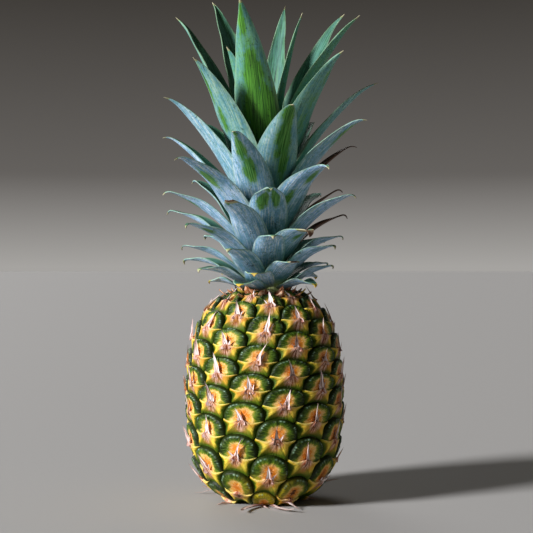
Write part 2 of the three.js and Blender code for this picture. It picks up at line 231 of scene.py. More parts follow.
def around(azimuth, radius, height):
    """A point by its azimuth from the front (-Y) towards the right, its radius and its height."""
    return np.stack(np.broadcast_arrays(radius * np.sin(azimuth), -radius * np.cos(azimuth), height), -1)


def thin_section(belly):
    """Eight places round a thin blade: how far across it each one is, and how far out of its middle plane."""
    across = np.array([-1, -0.5, 0, 0.5, 1, 0.5, 0, -0.5])[None]
    out = np.array([0, belly, 1, belly, 0, -belly, -1, -belly])[None]
    return across, out


# ---------------- the lattice of the eyes

ROUTE = spline(FRUIT_OUTLINE, np.linspace(0, 1, OUTLINE_POINTS))
SO_FAR = np.concatenate([[0], np.cumsum(np.linalg.norm(np.diff(ROUTE, axis=0), axis=1))])
SLOPE = np.gradient(ROUTE, SO_FAR, axis=0)
OUTLINE_LENGTH = SO_FAR[-1]


def fruit_radius(along):
    return np.interp(along, SO_FAR, ROUTE[:, 0])


def on_fruit(azimuth, along, rise, ground=0.0):
    """Points on the fruit, `rise` above the level of the grooves and never under `ground`."""
    share = np.clip(along / OUTLINE_LENGTH, 0, 1)
    aside = fruit_radius(share * OUTLINE_LENGTH) * np.sin(azimuth) * np.sin(np.pi * share)
    leaned = np.clip(share + math.tan(math.radians(ROW_LEAN)) * aside / OUTLINE_LENGTH, 0, 1) * OUTLINE_LENGTH
    radius, height, out, up = (np.interp(leaned, SO_FAR, column) for column in (*ROUTE.T, *SLOPE.T))
    return around(azimuth, radius + rise * up, np.maximum(height - rise * out, ground))


def eye_along(number):
    place = (number / ROUND + 1) / (len(EYE_ROUNDS) - 1)
    return float(spline([(along,) for along in EYE_ROUNDS], [place])[0, 0])


def beside(number, *steps):
    """The mean place of the eyes `steps` further on: azimuth in radians and distance along the outline."""
    turns = [(TURN * step + 180) % 360 - 180 for step in steps]
    azimuth = math.radians(FIRST_EYE_AT + TURN * number + sum(turns) / len(steps))
    return np.array([azimuth, sum(eye_along(number + step) for step in steps) / len(steps)])


CORNER_STEPS = {
    "left": (-5, 0, 8), "upper_left": (0, 8, 13), "upper_right": (0, 5, 13), "right": (-8, 0, 5),
    "lower_left": (-13, -5, 0), "lower_right": (-13, -8, 0),
}


def corner(number, name):
    return beside(number, *CORNER_STEPS[name])


def wing_tip(number, side):
    """Where a bract's wing ends, on the arch of its neighbour below."""
    return mix(beside(number, 0), corner(number, side), WING)


def arch_of(number):
    """The seven places that an eye's arch runs through, from its left wing tip to its right one.

    Its shoulders are near where the wings of the eyes 8 and 5 further on end.
    """
    middle = beside(number, 0)
    above = (("upper_left", 8, "right"), ("upper_right", 5, "left"))
    shoulders = [corner(number, name) + wing_tip(number + step, side) - corner(number + step, side)
                 for name, step, side in above]
    shoulders = [mix(middle, place, share) for place, share in zip(shoulders, ARCH_SHOULDERS)]
    corners = [wing_tip(number, "left"), *shoulders, wing_tip(number, "right")]
    turn = round((corners[0][0] - middle[0]) / (2 * math.pi)) * 2 * math.pi
    bowed = [mix(middle, (a + b) / 2, bow) for a, b, bow in zip(corners, corners[1:], ARCH)]
    route = [place for pair in zip(corners, bowed) for place in pair] + [corners[-1]]
    return np.array(route) - [turn, 0]


def arch_seen_from(number, step, places):
    """Places on the arch of the eye `step` further on, with azimuths counted the way this eye counts them."""
    curve = spline(arch_of(number + step), places)
    whole = 2 * math.pi
    turns = round((curve[:, 0].mean() - beside(number, 0)[0]) / whole)
    return curve - [turns * whole, 0]


# ---------------- meshes

# The named values on the points of each kind of piece, which its material reads.
EYE_VALUES = ("ring", "spin", "bead", "tone", "ripe", "sallow")
BRACT_VALUES = ("fan", "reach", "down", "wing", "ridge", "tone")
DRY_VALUES = ("share", "place", "tone")
LEAF_VALUES = ("vein", "reach", "share", "inner", "rub", "dry", "edge", "young", "old", "tone")


def put(name, data):
    """An object with that mesh, camera or light, in the scene."""
    made = bpy.data.objects.new(name, data)
    bpy.context.scene.collection.objects.link(made)
    return made


class Bodies:
    """Closed bodies gathered into one mesh, with named values on their points."""

    def __init__(self, *names):
        self.points = []
        self.faces = []
        self.values = {name: [] for name in names}
        self.count = 0

    def add(self, rings, first, last, **values):
        """A body round `rings` (rows, places round, xyz), closed by an end point before and behind them."""
        rows, size = rings.shape[:2]
        points = np.concatenate([rings.reshape(-1, 3), [first], [last]])
        here = np.arange(rows * size).reshape(rows, size)
        after = np.roll(here, -1, axis=1)
        quads = np.stack([here[:-1], after[:-1], after[1:], here[1:]], -1).reshape(-1, 4)
        caps = [[rows * size, b, a] for a, b in zip(here[0], after[0])]
        caps += [[rows * size + 1, a, b] for a, b in zip(here[-1], after[-1])]
        a, b, c, d = (points[quads[:, k]] for k in range(4))
        cap = np.array([points[list(face)] for face in caps])
        volume = np.einsum("ij,ij->", a, np.cross(b, c)) + np.einsum("ij,ij->", a, np.cross(c, d))
        volume += np.einsum("ij,ij->", cap[:, 0], np.cross(cap[:, 1], cap[:, 2]))
        order = slice(None, None, 1 if volume > 0 else -1)
        self.faces += [[self.count + k for k in face[order]] for face in quads.tolist() + caps]
        self.points.append(points)
        for name, kept in self.values.items():
            value = np.broadcast_to(values[name], (rows, size))
            kept.append(np.concatenate([value.ravel(), [value[0].mean(), value[-1].mean()]]))
        self.count += len(points)

    def piece(self, name, nodes, slot, material, sharp=55):
        """The gathered bodies as an object that stands for the CAD nodes."""
        mesh = bpy.data.meshes.new(name)
        mesh.from_pydata((np.concatenate(self.points) * MM).tolist(), [], self.faces)
        for key, kept in self.values.items():
            mesh.attributes.new(key, "FLOAT", "POINT").data.foreach_set("value", np.concatenate(kept))
        mesh.polygons.foreach_set("use_smooth", [True] * len(mesh.polygons))
        mesh.set_sharp_from_angle(angle=math.radians(sharp))
        mesh.materials.append(material)
        body = put(name, mesh)
        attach(body, "root")
        if nodes:
            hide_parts(*nodes)
        return body


# ---------------- the fruit

DOME_RINGS = np.array([
    0.12, 0.24, 0.36, 0.47, 0.57, 0.66, 0.73, 0.79, 0.82, 0.85, 0.88, 0.91, 0.94, 0.97, 1.0, 1.001,
])
DOME_PROFILE = [  # share of the way out to the arch, and of the dome's rise there
    (0, 0.6), (0.24, 0.64), (0.42, 0.76), (0.57, 0.92), (0.7, 1.0), (0.8, 0.97), (0.87, 0.89), (0.92, 0.76),
    (0.96, 0.56), (1, 0.22), (1.001, -0.2),
]
# Places round a dome: over it from its left wing tip to its right one, and back under it, inside its bract.
OVER = np.linspace(0, 1, 4 * BEADS + 1)
UNDER = np.linspace(0, 1, HIDDEN_PLACES)[1:-1]
FROM_WING = np.minimum(OVER, 1 - OVER)
SPIN = np.concatenate([OVER, 1 + 0.35 * UNDER])
DOME_DIP = np.concatenate([0.42 * np.exp(-(FROM_WING / 0.1) ** 2), 0.42 + 0.32 * np.sin(np.pi * UNDER)])
DOME_SEEN = np.concatenate([smooth(FROM_WING, 0.06, 0.16), 0 * UNDER])
DOME_OPEN = np.concatenate([1 + 0 * OVER, 1 - 0.5 * np.sin(np.pi * UNDER) ** 0.5])
BRACT_EDGE = [(0, 0.1), (0.04, 0.5), (0.1, 0.84), (0.25, 1.07), (0.42, 1.12), (0.5, 1.18)]  # rise at its top
BRACT_FACE = [  # down its face: share of the way to the arches below, share of the rise
    (0, 1), (0.05, 1.04), (0.14, 1.05), (0.3, 1), (0.48, 0.9), (0.66, 0.8), (0.82, 0.66), (0.93, 0.5),
    (1, 0.25), (1.001, -0.15),
]


def stand_of(number):
    along = eye_along(number)
    return smooth(along, *EYES_STAND) * mix(1, 0.1, smooth(along, *EYES_LIE))


def dome_rise(number):
    return DOME_RISE * stand_of(number) * (1 + 0.08 * draw(number, 1))


def bract_rise(number):
    return BRACT_RISE * stand_of(number) * (1 + 0.06 * draw(number, 2))


def floor_of(number):
    """Near the flat base each eye has its own level, just above the floor, so that no two faces coincide."""
    return 0.06 + 0.03 * (number % 9)


def dome_edge(number):
    """The way round a dome: along its arch, and back inside its bract."""
    middle, arch = beside(number, 0), arch_of(number)
    right, below, left = corner(number, "lower_right"), beside(number, -13), corner(number, "lower_left")
    hidden = [arch[-1], mix(middle, right, 0.5), mix(middle, below, 0.26), mix(middle, left, 0.5), arch[0]]
    return np.concatenate([spline(arch, OVER), spline(hidden, UNDER)])


def dome_relief(number, places, out):
    """Ripples on a dome, pleats towards its rim and beads on it: their height, and where the beads are."""
    ripple = np.sin(places[..., 0] * 61 + number) * np.sin(places[..., 1] * 0.83 + number * 1.7)
    pleats = np.sin(2 * np.pi * SPIN * PLEATS + number) * smooth(out, 0.45, 0.7) * (1 - smooth(out, 0.88, 1))
    patchy = smooth(np.sin(SPIN * 23 + number * 2.1) + 0.6 * np.sin(SPIN * 57 + number), -0.3, 1.0)
    bead = np.sin(np.pi * SPIN * BEADS) ** 2 * DOME_SEEN * patchy * np.exp(-((out - BEADS_AT) / 0.035) ** 2)
    return RIPPLE_HEIGHT * ripple + PLEAT_HEIGHT * pleats + BEAD_HEIGHT * bead, bead


def sallow_at(points):
    """How yellow the rims are there."""
    sallow = np.exp(-((points[..., 0] - SALLOW_AT) / SALLOW_REACH) ** 2) * (points[..., 1] < 0)
    return sallow * (1 - smooth(points[..., 2], *SALLOW_UP_TO))


def add_dome(bodies, number):
    """The upper half of an eye: a blunt pillow under its arch, pleated towards a rim with beads."""
    centre = mix(beside(number, 0), arch_of(number)[3], DOME_MIDDLE)
    out = DOME_RINGS[:, None]
    places = centre + out[:, :, None] * (dome_edge(number) - centre)
    share = np.interp(DOME_RINGS, *zip(*DOME_PROFILE))[:, None]
    rise = dome_rise(number)
    relief, bead = dome_relief(number, places, out)
    height = rise * share * (1 - DOME_DIP * out) + stand_of(number) * relief
    height = np.where(share > 0, height, share * DOME_RISE)
    ground = floor_of(number) + DOME_OVER_BRACT
    rings = on_fruit(places[..., 0], places[..., 1], height, ground)
    top, bottom = (on_fruit(*centre, level, ground) for level in (DOME_PROFILE[0][1] * rise, DOME_ROOT))
    ring = out * DOME_OPEN * (1 + 0.4 * np.cos(np.pi * SPIN) ** 2 * (1 - out))
    ripe = chance(number, 7) + 1.4 * smooth(eye_along(number), 150, 195)
    bodies.add(rings, top, bottom, ring=ring, spin=SPIN[None], bead=bead, sallow=sallow_at(rings),
               tone=chance(number, 6), ripe=ripe)


def bract_edges(number, across):
    """A bract's top edge, from wing to wing, and its lower one, on the arches of eyes 5, 13 and 8 back."""
    middle, below = beside(number, 0), beside(number, -13)
    left, right = wing_tip(number, "left"), wing_tip(number, "right")
    wings = [mix(mix(middle, side, 0.55), mix(middle, below, 0.55), 0.1) for side in (left, right)]
    upper = spline([left, wings[0], middle, wings[1], right], across)
    third = BRACT_PLACES // 3
    steps = np.arange(1, third + 1) / BRACT_PLACES
    lower = [arch_seen_from(number, -5, 4 / 6 + steps), arch_seen_from(number, -13, 2 / 6 + steps),
             arch_seen_from(number, -8, steps[:-1])]
    return upper, np.concatenate(lower)


def add_bract(bodies, number):
    """A leathery star: thick in its middle, with wings, and lobes that run down to the arches below it."""
    middle = beside(number, 0)
    across = np.arange(1, BRACT_PLACES) / BRACT_PLACES
    upper, lower = bract_edges(number, across)
    edge = np.interp(np.minimum(across, 1 - across), *zip(*BRACT_EDGE))
    rise = bract_rise(number)
    # A wall under the top edge, the face from there down, and a floor inside the fruit.
    down = np.array([0.0, *(place for place, share in BRACT_FACE), 0.7, 0.3])
    flat = 0 * across
    face = [rise * share * edge if share > 0 else share * BRACT_RISE + flat for place, share in BRACT_FACE]
    level = np.array([BRACT_WALL + flat, *face, BRACT_BACK + flat, BRACT_BACK + flat]).T
    crease = np.cos(3 * np.pi * across)[:, None] ** 2
    seen = slice(2, -3)
    valley = VALLEY * stand_of(number) * (1 - crease) * smooth(down[seen], 0.1, 0.7)
    level[:, seen] -= valley * (down[seen] < 0.95)
    places = upper[:, None] + down[None, :, None] * (lower - upper)[:, None]
    x = (places[..., 0] - middle[0]) * fruit_radius(middle[1])
    y = middle[1] + 1.0 - places[..., 1]
    reach = np.hypot(x, y)
    level += BOSS * stand_of(number) * np.exp(-(reach / BOSS_REACH) ** 2) * (level > -0.5)
    ground = floor_of(number)
    rings = on_fruit(places[..., 0], places[..., 1], level, ground)
    first, last = (on_fruit(*wing_tip(number, side), -0.3, ground) for side in ("left", "right"))
    bodies.add(rings, first, last, fan=np.arctan2(x, np.abs(y) + 0.4), reach=reach, down=down[None],
               wing=across[:, None], ridge=crease, tone=chance(number, 6))


def add_tip(bodies, number):
    """The dry tip of a bract: its main strand and, on about half of the eyes each, those beside it."""
    for strand, (size, aside) in enumerate(TIP_STRANDS):
        purpose = 20 + 7 * strand
        if strand == 0 or draw(number, purpose) >= 0.05:
            add_tip_strand(bodies, number, purpose, size, aside)


def add_tip_strand(bodies, number, purpose, size, aside):
    """A papery, channelled strand, which lies up over the eye and stands off at its point."""
    root = mix(beside(number, 0), beside(number, -13), 0.03)
    grown = mix(1, 0.4, smooth(root[1], *TIPS_DWINDLE))
    low = 1 - smooth(root[1], *TIPS_SPREAD)
    ground = floor_of(number) + 0.3
    share = np.linspace(0, 1, TIP_ROWS)
    reach = TIP_LENGTH * grown * (1 + 0.22 * draw(number, 3)) * size
    lift = 1.6 + 2.2 * chance(number, purpose + 1) + 2.5 * max(draw(number, purpose + 2), 0)
    lift *= 1 + 1.6 * low
    lean = 0.32 * draw(number, purpose + 4) + 0.7 * aside
    bend = 0.28 * draw(number, purpose + 5)
    along = root[1] - TIP_START + (reach + 1.0) * share * mix(1, 0.35, low)
    sway = reach * (lean * share + bend * share**2.4) + 1.1 * aside
    rise = bract_rise(number) * 1.12 - 0.5 + lift * size * share**1.5 + 0.7 * low * reach * share
    width = TIP_WIDTH * (size * grown) ** 0.5 * (1.45 - 0.55 * smooth(share, 0, 0.35)) * (1 - share**1.5)
    half = (0.5 * width + 0.1) * (1 + 0.12 * np.sin(share * 17 + number))
    twist = (0.5 * draw(number, purpose + 3) + 1.1 * draw(number, purpose + 4) * share)[:, None]
    place, face = thin_section(0.5)
    x = half[:, None] * place
    z = half[:, None] * (0.5 * np.abs(place) - 0.15) + 0.2 * face * mix(1.2, 0.7, share)[:, None]
    side = (sway[:, None] + x * np.cos(twist) - z * np.sin(twist)) / fruit_radius(root[1])
    level = rise[:, None] + x * np.sin(twist) + z * np.cos(twist)
    rings = on_fruit(root[0] + side, along[:, None] + 0 * x, level, NO_FLOOR)
    rings[..., 2] += np.maximum(ground - rings[..., 2].min(axis=1, keepdims=True), 0)
    point = mix(rings[-2].mean(axis=0), rings[-1].mean(axis=0), 1.5)
    point[2] = max(point[2], ground)
    bodies.add(rings, rings[0].mean(axis=0), point, share=share[:, None], place=place,
               tone=chance(number, purpose + 5))


def add_floor_strand(bodies, number, start, end):
    """A dry bract from under the base, lying out over the floor with its point curled up."""
    share = np.linspace(0, 1, FLOOR_STRAND_ROWS)[:, None]
    start, end = np.array(start, float), np.array(end, float)
    length = np.linalg.norm(end - start)
    aside = np.array([end[1] - start[1], start[0] - end[0]]) / length
    middle = mix(start, end, share) + 0.1 * length * np.sin(np.pi * share) * aside
    height = 1.0 + 1.4 * share**2 + 0.8 * smooth(share, 0.75, 1)
    half = 1.9 * (1 - share**2.5) + 0.25
    place, face = thin_section(0.6)
    flat = middle[:, None, :] + (half * place)[..., None] * aside
    rings = np.concatenate([flat, (height + 0.4 * face + 0.5 * np.abs(place) * half)[..., None]], axis=-1)
    bodies.add(rings, rings[0].mean(axis=0), rings[-1].mean(axis=0), share=share, place=place,
               tone=chance(number, 41))


def add_core(bodies):
    """What the eyes are set on, a little below the level of the grooves."""
    alongs = np.linspace(*CORE_ENDS, CORE_ROWS)[:, None] * OUTLINE_LENGTH
    rings = on_fruit(circle(CORE_SIDES)[None], alongs, -CORE_DEPTH, CORE_FLOOR)
    top = FRUIT_OUTLINE[-1][1] - 0.5
    bodies.add(rings, (0, 0, 0.5), (0, 0, top), ring=0.97, spin=0.5, bead=0.0, tone=0.4, ripe=0.5, sallow=0.0)


def make_scar(material):
    """The cut stalk in the middle of the base: a shallow woody disc with a worn rim."""
    bodies = Bodies("ring")
    azimuths = circle(SCAR_SIDES)[None]
    out, height = (column[:, None] for column in np.array(SCAR_SECTION).T)
    wobble = 1 + 0.03 * np.sin(3 * azimuths) + 0.02 * np.sin(7 * azimuths + 1)
    first, last = ((0, 0, float(level)) for level in (height[0, 0], height[-1, 0]))
    bodies.add(around(azimuths, out * wobble, height), first, last, ring=out / out[0])
    return bodies.piece("fruit_stalk_scar", ["fruit"], "rind", material)


# ---------------- the crown


def stem_radius(height):
    return mix(STEM_FOOT_RADIUS, STEM_TOP_RADIUS, (height - STEM_FOOT) / (STEM_TOP - STEM_FOOT))


def leaf_habit(number):
    """What a leaf is like, worked out between the stated leaves, with its nudges and a seeded scatter."""
    table = np.array(LEAF_HABIT, float)
    names = ("foot", "lean", "spread", "hook", "length", "width", "clasp")
    habit = {name: float(np.interp(number, table[:, 0], table[:, k + 1])) for k, name in enumerate(names)}
    habit["turn"] = FIRST_LEAF_AT + TURN * (number - 1)
    for name, nudges in LEAF_NUDGES.items():
        habit[name] += nudges.get(number, 0)
    for k, (name, most) in enumerate(LEAF_SCATTER):
        habit[name] += most * draw(number, 11 + k)
    return habit


def blade_half_width(habit, number, share):
    swell = 0.82 + 0.18 * np.sin(0.5 * np.pi * np.minimum(share / SHOULDER, 1))
    beyond = np.maximum(share - SHOULDER, 0) / (1 - SHOULDER)
    return 0.5 * habit["width"] * swell * (1 - beyond ** mix(2.3, 1.7, number / LEAVES))


def midrib(habit, shares):
    """Radius, height and lean of the midrib, with its lean followed in small steps from foot to tip."""
    fine = np.linspace(0, 1, MIDRIB_STEPS + 1)
    step = habit["length"] / MIDRIB_STEPS
    lean = mix(habit["lean"], habit["spread"], fine**0.8) + habit["hook"] * smooth(fine, HOOK_FROM, 1)
    curl = CURL * max(1 - habit["length"] / CURLED_UNDER, 0)
    lean = np.radians(lean + curl * np.maximum(fine - CURL_FROM, 0) / (1 - CURL_FROM))
    start = stem_radius(habit["foot"]) + STEM_GAP + 0.5 * LEAF_THICKNESS[0]
    radius = start + np.concatenate([[0], np.cumsum(np.sin(lean[:-1]) * step)])
    height = habit["foot"] + np.concatenate([[0], np.cumsum(np.cos(lean[:-1]) * step)])
    return (np.interp(shares, fine, column) for column in (radius, height, lean))


def blade_shape(number, habit, shares, across):
    """The blade's two faces, its half width in each row and the middle of its foot."""
    azimuth = math.radians(habit["turn"])
    radius, height, lean = (column[:, None] for column in midrib(habit, shares))
    share = shares[:, None]
    half = np.maximum(blade_half_width(habit, number, share), 0.3)
    shell = radius / np.maximum(np.cos(lean), 0.15)
    flat_end = 1 - mix(0.8, 0, smooth(number, *BLUNT_UNTIL)) * smooth(share, 0.62, 0.9)
    channel = 1 / (mix(1 / shell, 1 / (CHANNEL * half), smooth(share, 0.2, 0.6)) * flat_end)
    clasp = np.radians(mix(habit["clasp"], CLASP_BEYOND, smooth(share, 0, 0.35)))
    half = np.minimum(half, channel * clasp)
    wave = 0.35 * np.sin(share * habit["length"] * 0.16 + number) * np.abs(across) ** 3
    wave = (wave * smooth(share, 0.3, 0.6))[..., None]
    side = np.array([math.cos(azimuth), math.sin(azimuth), 0])
    inward = around(azimuth, -np.cos(lean), np.sin(lean))
    middle = around(azimuth, radius, height)
    angle = (across * half / channel)[..., None]
    bow = channel[..., None]
    normal = inward * np.cos(angle) - side * np.sin(angle)
    spot = middle + side * bow * np.sin(angle) + inward * bow * (1 - np.cos(angle)) + normal * wave
    thick = mix(mix(*LEAF_THICKNESS, share), EDGE_THICKNESS, across**2)
    thick = (thick * mix(1, 0.55, smooth(share, 0.92, 1.0)))[..., None]
    return spot + 0.5 * thick * normal, spot - 0.5 * thick * normal, half, middle[0, 0]


def rubbed(number, share, place):
    """How bare of bloom a leaf is, round the places where hands rubbed it."""
    rub = 0 * share * place
    for along, aside, long, wide, strength in RUBBED.get(number, []):
        off = ((share - along) / long) ** 2 + ((place - aside) / wide) ** 2
        rub = np.maximum(rub, strength * np.exp(-off))
    return rub


def dryness(number, share, place, left):
    """How dry a leaf is: at its tip and edges, most of all low in the crown, and where it is torn or dead."""
    oldness = 1 - smooth(number, 1, 26)
    dry = smooth(share, mix(0.96, 0.86, oldness), mix(0.99, 1, oldness))
    edges = smooth(np.abs(place), 0.9, 1.25) * mix(0.35, 1.2, oldness) * smooth(share, 0.2, 0.8)
    dry = np.maximum(dry, edges)
    if left < 1:
        dry = np.maximum(dry, 1.7 * smooth(share, 0.9 * left, left))
    if number in DEAD:
        dry = np.maximum(dry, 1.8 * smooth(share, DEAD[number] - 0.15, DEAD[number] + 0.1))
    return dry


def make_leaf(number, material):
    habit = leaf_habit(number)
    left = TORN_TIPS.get(number, 1.0)
    rows = round(mix(*BLADE_ROWS, number / LEAVES))
    shares = [np.linspace(0, 0.9, rows - END_ROWS), np.linspace(0.9, 0.995, END_ROWS + 1)[1:]]
    shares = np.concatenate(shares) * left
    across = np.linspace(-1, 1, BLADE_PLACES)
    inner, outer, half, foot = blade_shape(number, habit, shares, across)
    rings = np.concatenate([inner, outer[:, ::-1]], axis=1)
    place = np.concatenate([across, across[::-1]])
    if left < 1:
        ragged = 0.5 * (1 + np.sin(place * 9 + number))
        rings[-1] = mix(rings[-1], rings[-3], 0.8 * ragged[:, None])
    tip = mix(rings[-2].mean(axis=0), rings[-1].mean(axis=0), 1.6 if left == 1 else 1.1)
    share, place = shares[:, None], place[None]
    values = {
        "vein": half * place, "reach": share * habit["length"], "share": share,
        "inner": np.repeat([1, 0], len(across))[None], "rub": rubbed(number, share, place),
        "dry": dryness(number, share, place, left), "edge": np.abs(place) ** 12,
        "young": smooth(number, *YOUNG_FROM), "old": 1 - smooth(number, *OLD_UNTIL),
        "tone": chance(number, 16),
    }
    bodies = Bodies(*LEAF_VALUES)
    bodies.add(rings, foot, tip, **values)
    return bodies.piece(f"blade_{number:02d}", [f"crown_leaf_{number:02d}"], "leaf", material, sharp=80)


def make_stem(material):
    bodies = Bodies("share")
    azimuths = circle(STEM_SIDES)[None]
    share = np.linspace(0, 1, STEM_ROWS)[:, None]
    radius = mix(STEM_FOOT_RADIUS, STEM_TOP_RADIUS, share) - 0.35 + 0.3 * np.sin(9 * azimuths + share * 40)
    foot = STEM_FOOT - STEM_SUNK
    rings = around(azimuths, np.maximum(radius, 1), mix(foot, STEM_TOP, share))
    bodies.add(rings, (0, 0, foot), (0, 0, STEM_TOP + STEM_TOP_RADIUS), share=share)
    return bodies.piece("crown_stem_core", ["crown_stem"], "stem", material)


def make_collar(material):
    """The small dry bracts that ring the crown's foot, below its lowest leaves."""
    bodies = Bodies(*DRY_VALUES)
    place, face = thin_section(0.6)
    share = np.linspace(0, 1, COLLAR_ROWS)[:, None]
    for number in range(COLLAR_BRACTS):
        azimuth = math.radians(TURN * number + FIRST_COLLAR_BRACT_AT)
        habit = {name: mix(*ends, number / (COLLAR_BRACTS - 1)) for name, ends in COLLAR.items()}
        step = habit["length"] * (1 + 0.2 * draw(number, 31)) / COLLAR_ROWS
        width = habit["width"] * (1 + 0.15 * draw(number, 32))
        lean = np.radians(habit["lean"] - 34 * share + 14 * draw(number, 33))
        radius = habit["start"] + np.cumsum(np.sin(lean), axis=0) * step * habit["outward"]
        height = habit["foot"] + np.cumsum(np.cos(lean), axis=0) * step
        half = 0.5 * width * (1 - share**1.6) + 0.15
        height = height + 0.35 * face + 0.12 * np.abs(place) * width
        rings = around(azimuth + place * half / radius, radius, height)
        bodies.add(rings, rings[0].mean(axis=0), rings[-1].mean(axis=0), share=share, place=place,
                   tone=chance(number, 34))
    return bodies.piece("crown_collar_bracts", [], "leaf", material)


# ---------------- materials

KINDS = {  # a node's name here: Blender's type, its settings, the inputs it is fed in order, its output
    "value": ("Attribute", {}, (), "Fac"),
    "place": ("TexCoord", {}, (), "Object"),
    "direction": ("TexCoord", {}, (), "Generated"),
    "stretch": ("Mapping", {}, ("Vector", "Scale"), "Vector"),
    "join": ("CombineXYZ", {}, ("X", "Y", "Z"), "Vector"),
    "height": ("SeparateXYZ", {}, ("Vector",), "Z"),
    "noise": ("TexNoise", {}, ("Vector", "Scale", "Detail", "Roughness", "Distortion"), "Fac"),
    "cells": ("TexVoronoi", {}, ("Vector", "Scale"), "Distance"),
    "grade": ("MapRange", {}, ("Value", "From Min", "From Max", "To Min", "To Max"), "Result"),
    "ramp": ("ValToRGB", {}, ("Fac",), "Color"),
    "blend": ("Mix", {"data_type": "RGBA"}, ("Factor", 6, 7), 2),
    "bump": ("Bump", {}, ("Height", "Distance", "Strength"), "Normal"),
}
MATHS = {"plus": "ADD", "minus": "SUBTRACT", "times": "MULTIPLY", "over": "DIVIDE", "power": "POWER",
         "larger": "MAXIMUM"}
KINDS |= {name: ("Math", {"operation": operation}, (0, 1), "Value") for name, operation in MATHS.items()}


def colour(code):
    """An sRGB hex value as linear red, green, blue and alpha."""
    parts = [int(code[k:k + 2], 16) / 255 for k in (1, 3, 5)]
    return [c / 12.92 if c <= 0.04045 else ((c + 0.055) / 1.055) ** 2.4 for c in parts] + [1.0]


def feed(socket, value):
    """Gives a socket another node's output, a number, or the colour of a hex code."""
    if isinstance(value, bpy.types.NodeSocket):
        socket.id_data.links.new(value, socket)
    else:
        socket.default_value = colour(value) if isinstance(value, str) else value


def add(tree, kind, *feeds, ease=False, **settings):
    """Adds a node with its settings and links, and gives its output.

    A ramp's last feed is its stops: places, each with its colour's hex code or its grey.
    """
    type_name, preset, inputs, output = KINDS[kind]
    made = tree.nodes.new("ShaderNode" + type_name)
    for name, value in {**preset, **settings}.items():
        setattr(made, name, value)
    for name, value in zip(inputs, feeds):
        feed(made.inputs[name], value)
    if kind == "ramp":
        stops, elements = feeds[-1], made.color_ramp.elements
        made.color_ramp.interpolation = "EASE" if ease else "LINEAR"
        while len(elements) < len(stops):
            elements.new(0.5)
        for element, (place, shade) in zip(elements, stops):
            element.position = place
            element.color = colour(shade) if isinstance(shade, str) else (shade, shade, shade, 1)
    return made.outputs[output]


def band(node, value, low, high, soft):
    """One between `low` and `high`, fading over `soft` on both sides."""
    rising = node("grade", value, low - soft, low + soft)
    falling = node("grade", value, high + soft, high - soft)
    return node("times", rising, falling)


def stir(node, value, *patterns):
    """`value` moved up and down by patterns, which are 0.5 in their middle, each with how far it moves it."""
    for pattern, most in patterns:
        value = node("plus", value, node("times", node("minus", pattern, 0.5), most))
    return value


def lay(node, base, shade, *shares):
    """`shade` laid over `base` as far as the product of the shares says."""
    share = shares[0]
    for more in shares[1:]:
        share = node("times", share, more)
    return node("blend", share, base, shade)


def new_material(name, values=()):
    """A material, what adds nodes to it, its shader, and the outputs of the mesh's named values."""
    material = bpy.data.materials.new(name)
    material.use_nodes = True
    node = partial(add, material.node_tree)
    shader = material.node_tree.nodes["Principled BSDF"]
    return material, node, shader, [node("value", attribute_name=value) for value in values]


def finish_surface(node, shader, base, height, depth, **inputs):
    """Feeds the colour, the bump, `depth` millimetres deep, and the rest of the shader's own sockets."""
    inputs = {"Base_Color": base, "Normal": node("bump", height, depth * MM, 1), **inputs}
    for name, value in inputs.items():
        feed(shader.inputs[name.replace("_", " ")], value)


def eye_rind():
    """Live rind over a fruitlet: tight waxy skin, orange in its middle, with pale beads on a green rim."""
    material, node, shader, values = new_material("ripe_eye_rind", EYE_VALUES)
    ring, spin, bead, tone, ripe, sallow = values
    place = node("place")
    depth = node("times", tone, 37)
    blotch = node("noise", place, 1 / (6 * MM), 3)
    grain = node("noise", place, 1 / (1.1 * MM), 4)
    rays = node("join", node("times", spin, 44), node("times", ring, 2.2), depth)
    streak = node("noise", rays, 1, 3, 0.65)
    shifted = stir(node, ring, (blotch, 0.42), (streak, 0.42), (ripe, 0.12))
    base = node("ramp", shifted, [
        (0, "#c8681a"), (0.18, "#e88a20"), (0.32, "#f0b044"), (0.44, "#edc878"), (0.53, "#a0962a"),
        (0.61, "#4e680c"), (0.74, "#264006"), (0.9, "#162604"),
    ], ease=True)
    glow = node("ramp", blotch, [(0.42, 0), (0.53, 1)])
    base = lay(node, base, "#ee8416", band(node, ring, -0.5, 0.4, 0.12), glow, 0.8)
    pale = node("ramp", grain, [(0.5, 0), (0.6, 1)])
    base = lay(node, base, "#fbdca0", band(node, ring, 0.1, 0.5, 0.12), pale, 0.5)
    hairs = node("ramp", streak, [(0.5, 0), (0.64, 1)])
    base = lay(node, base, "#88a436", band(node, ring, 0.5, 0.86, 0.06), hairs, 0.45)
    wan = node("ramp", streak, [(0.4, "#a0960c"), (0.6, "#e0c628")])
    base = lay(node, base, wan, sallow, node("grade", ring, 0.4, 0.6), 0.9)
    base = lay(node, base, "#24300a", node("grade", ring, 0.88, 1))
    base = lay(node, base, "#a9d0ae", bead, 0.8)
    # Painted shade near the base: the rind is made duller and darker there, but not where it is sallow.
    low = node("grade", node("height", place), 32 * MM, 0, 0, 0.7)
    low = node("times", low, node("minus", 1, sallow))
    base = node("blend", low, base, "#9a9a62", blend_type="MULTIPLY")
    # The dried flower leaves a dark scar in the middle, larger in some eyes.
    larger = node("times", node("power", tone, 3), 0.14)
    scar = node("minus", stir(node, ring, (grain, 0.25)), larger)
    base = lay(node, base, "#3a1808", node("ramp", scar, [(0.02, 0.9), (0.06, 0)]))
    height = node("plus", node("times", streak, 0.6), node("times", grain, 0.5))
    finish_surface(node, shader, base, height, 0.6, Roughness=0.46, IOR=1.4, Specular_IOR_Level=0.3)
    return material


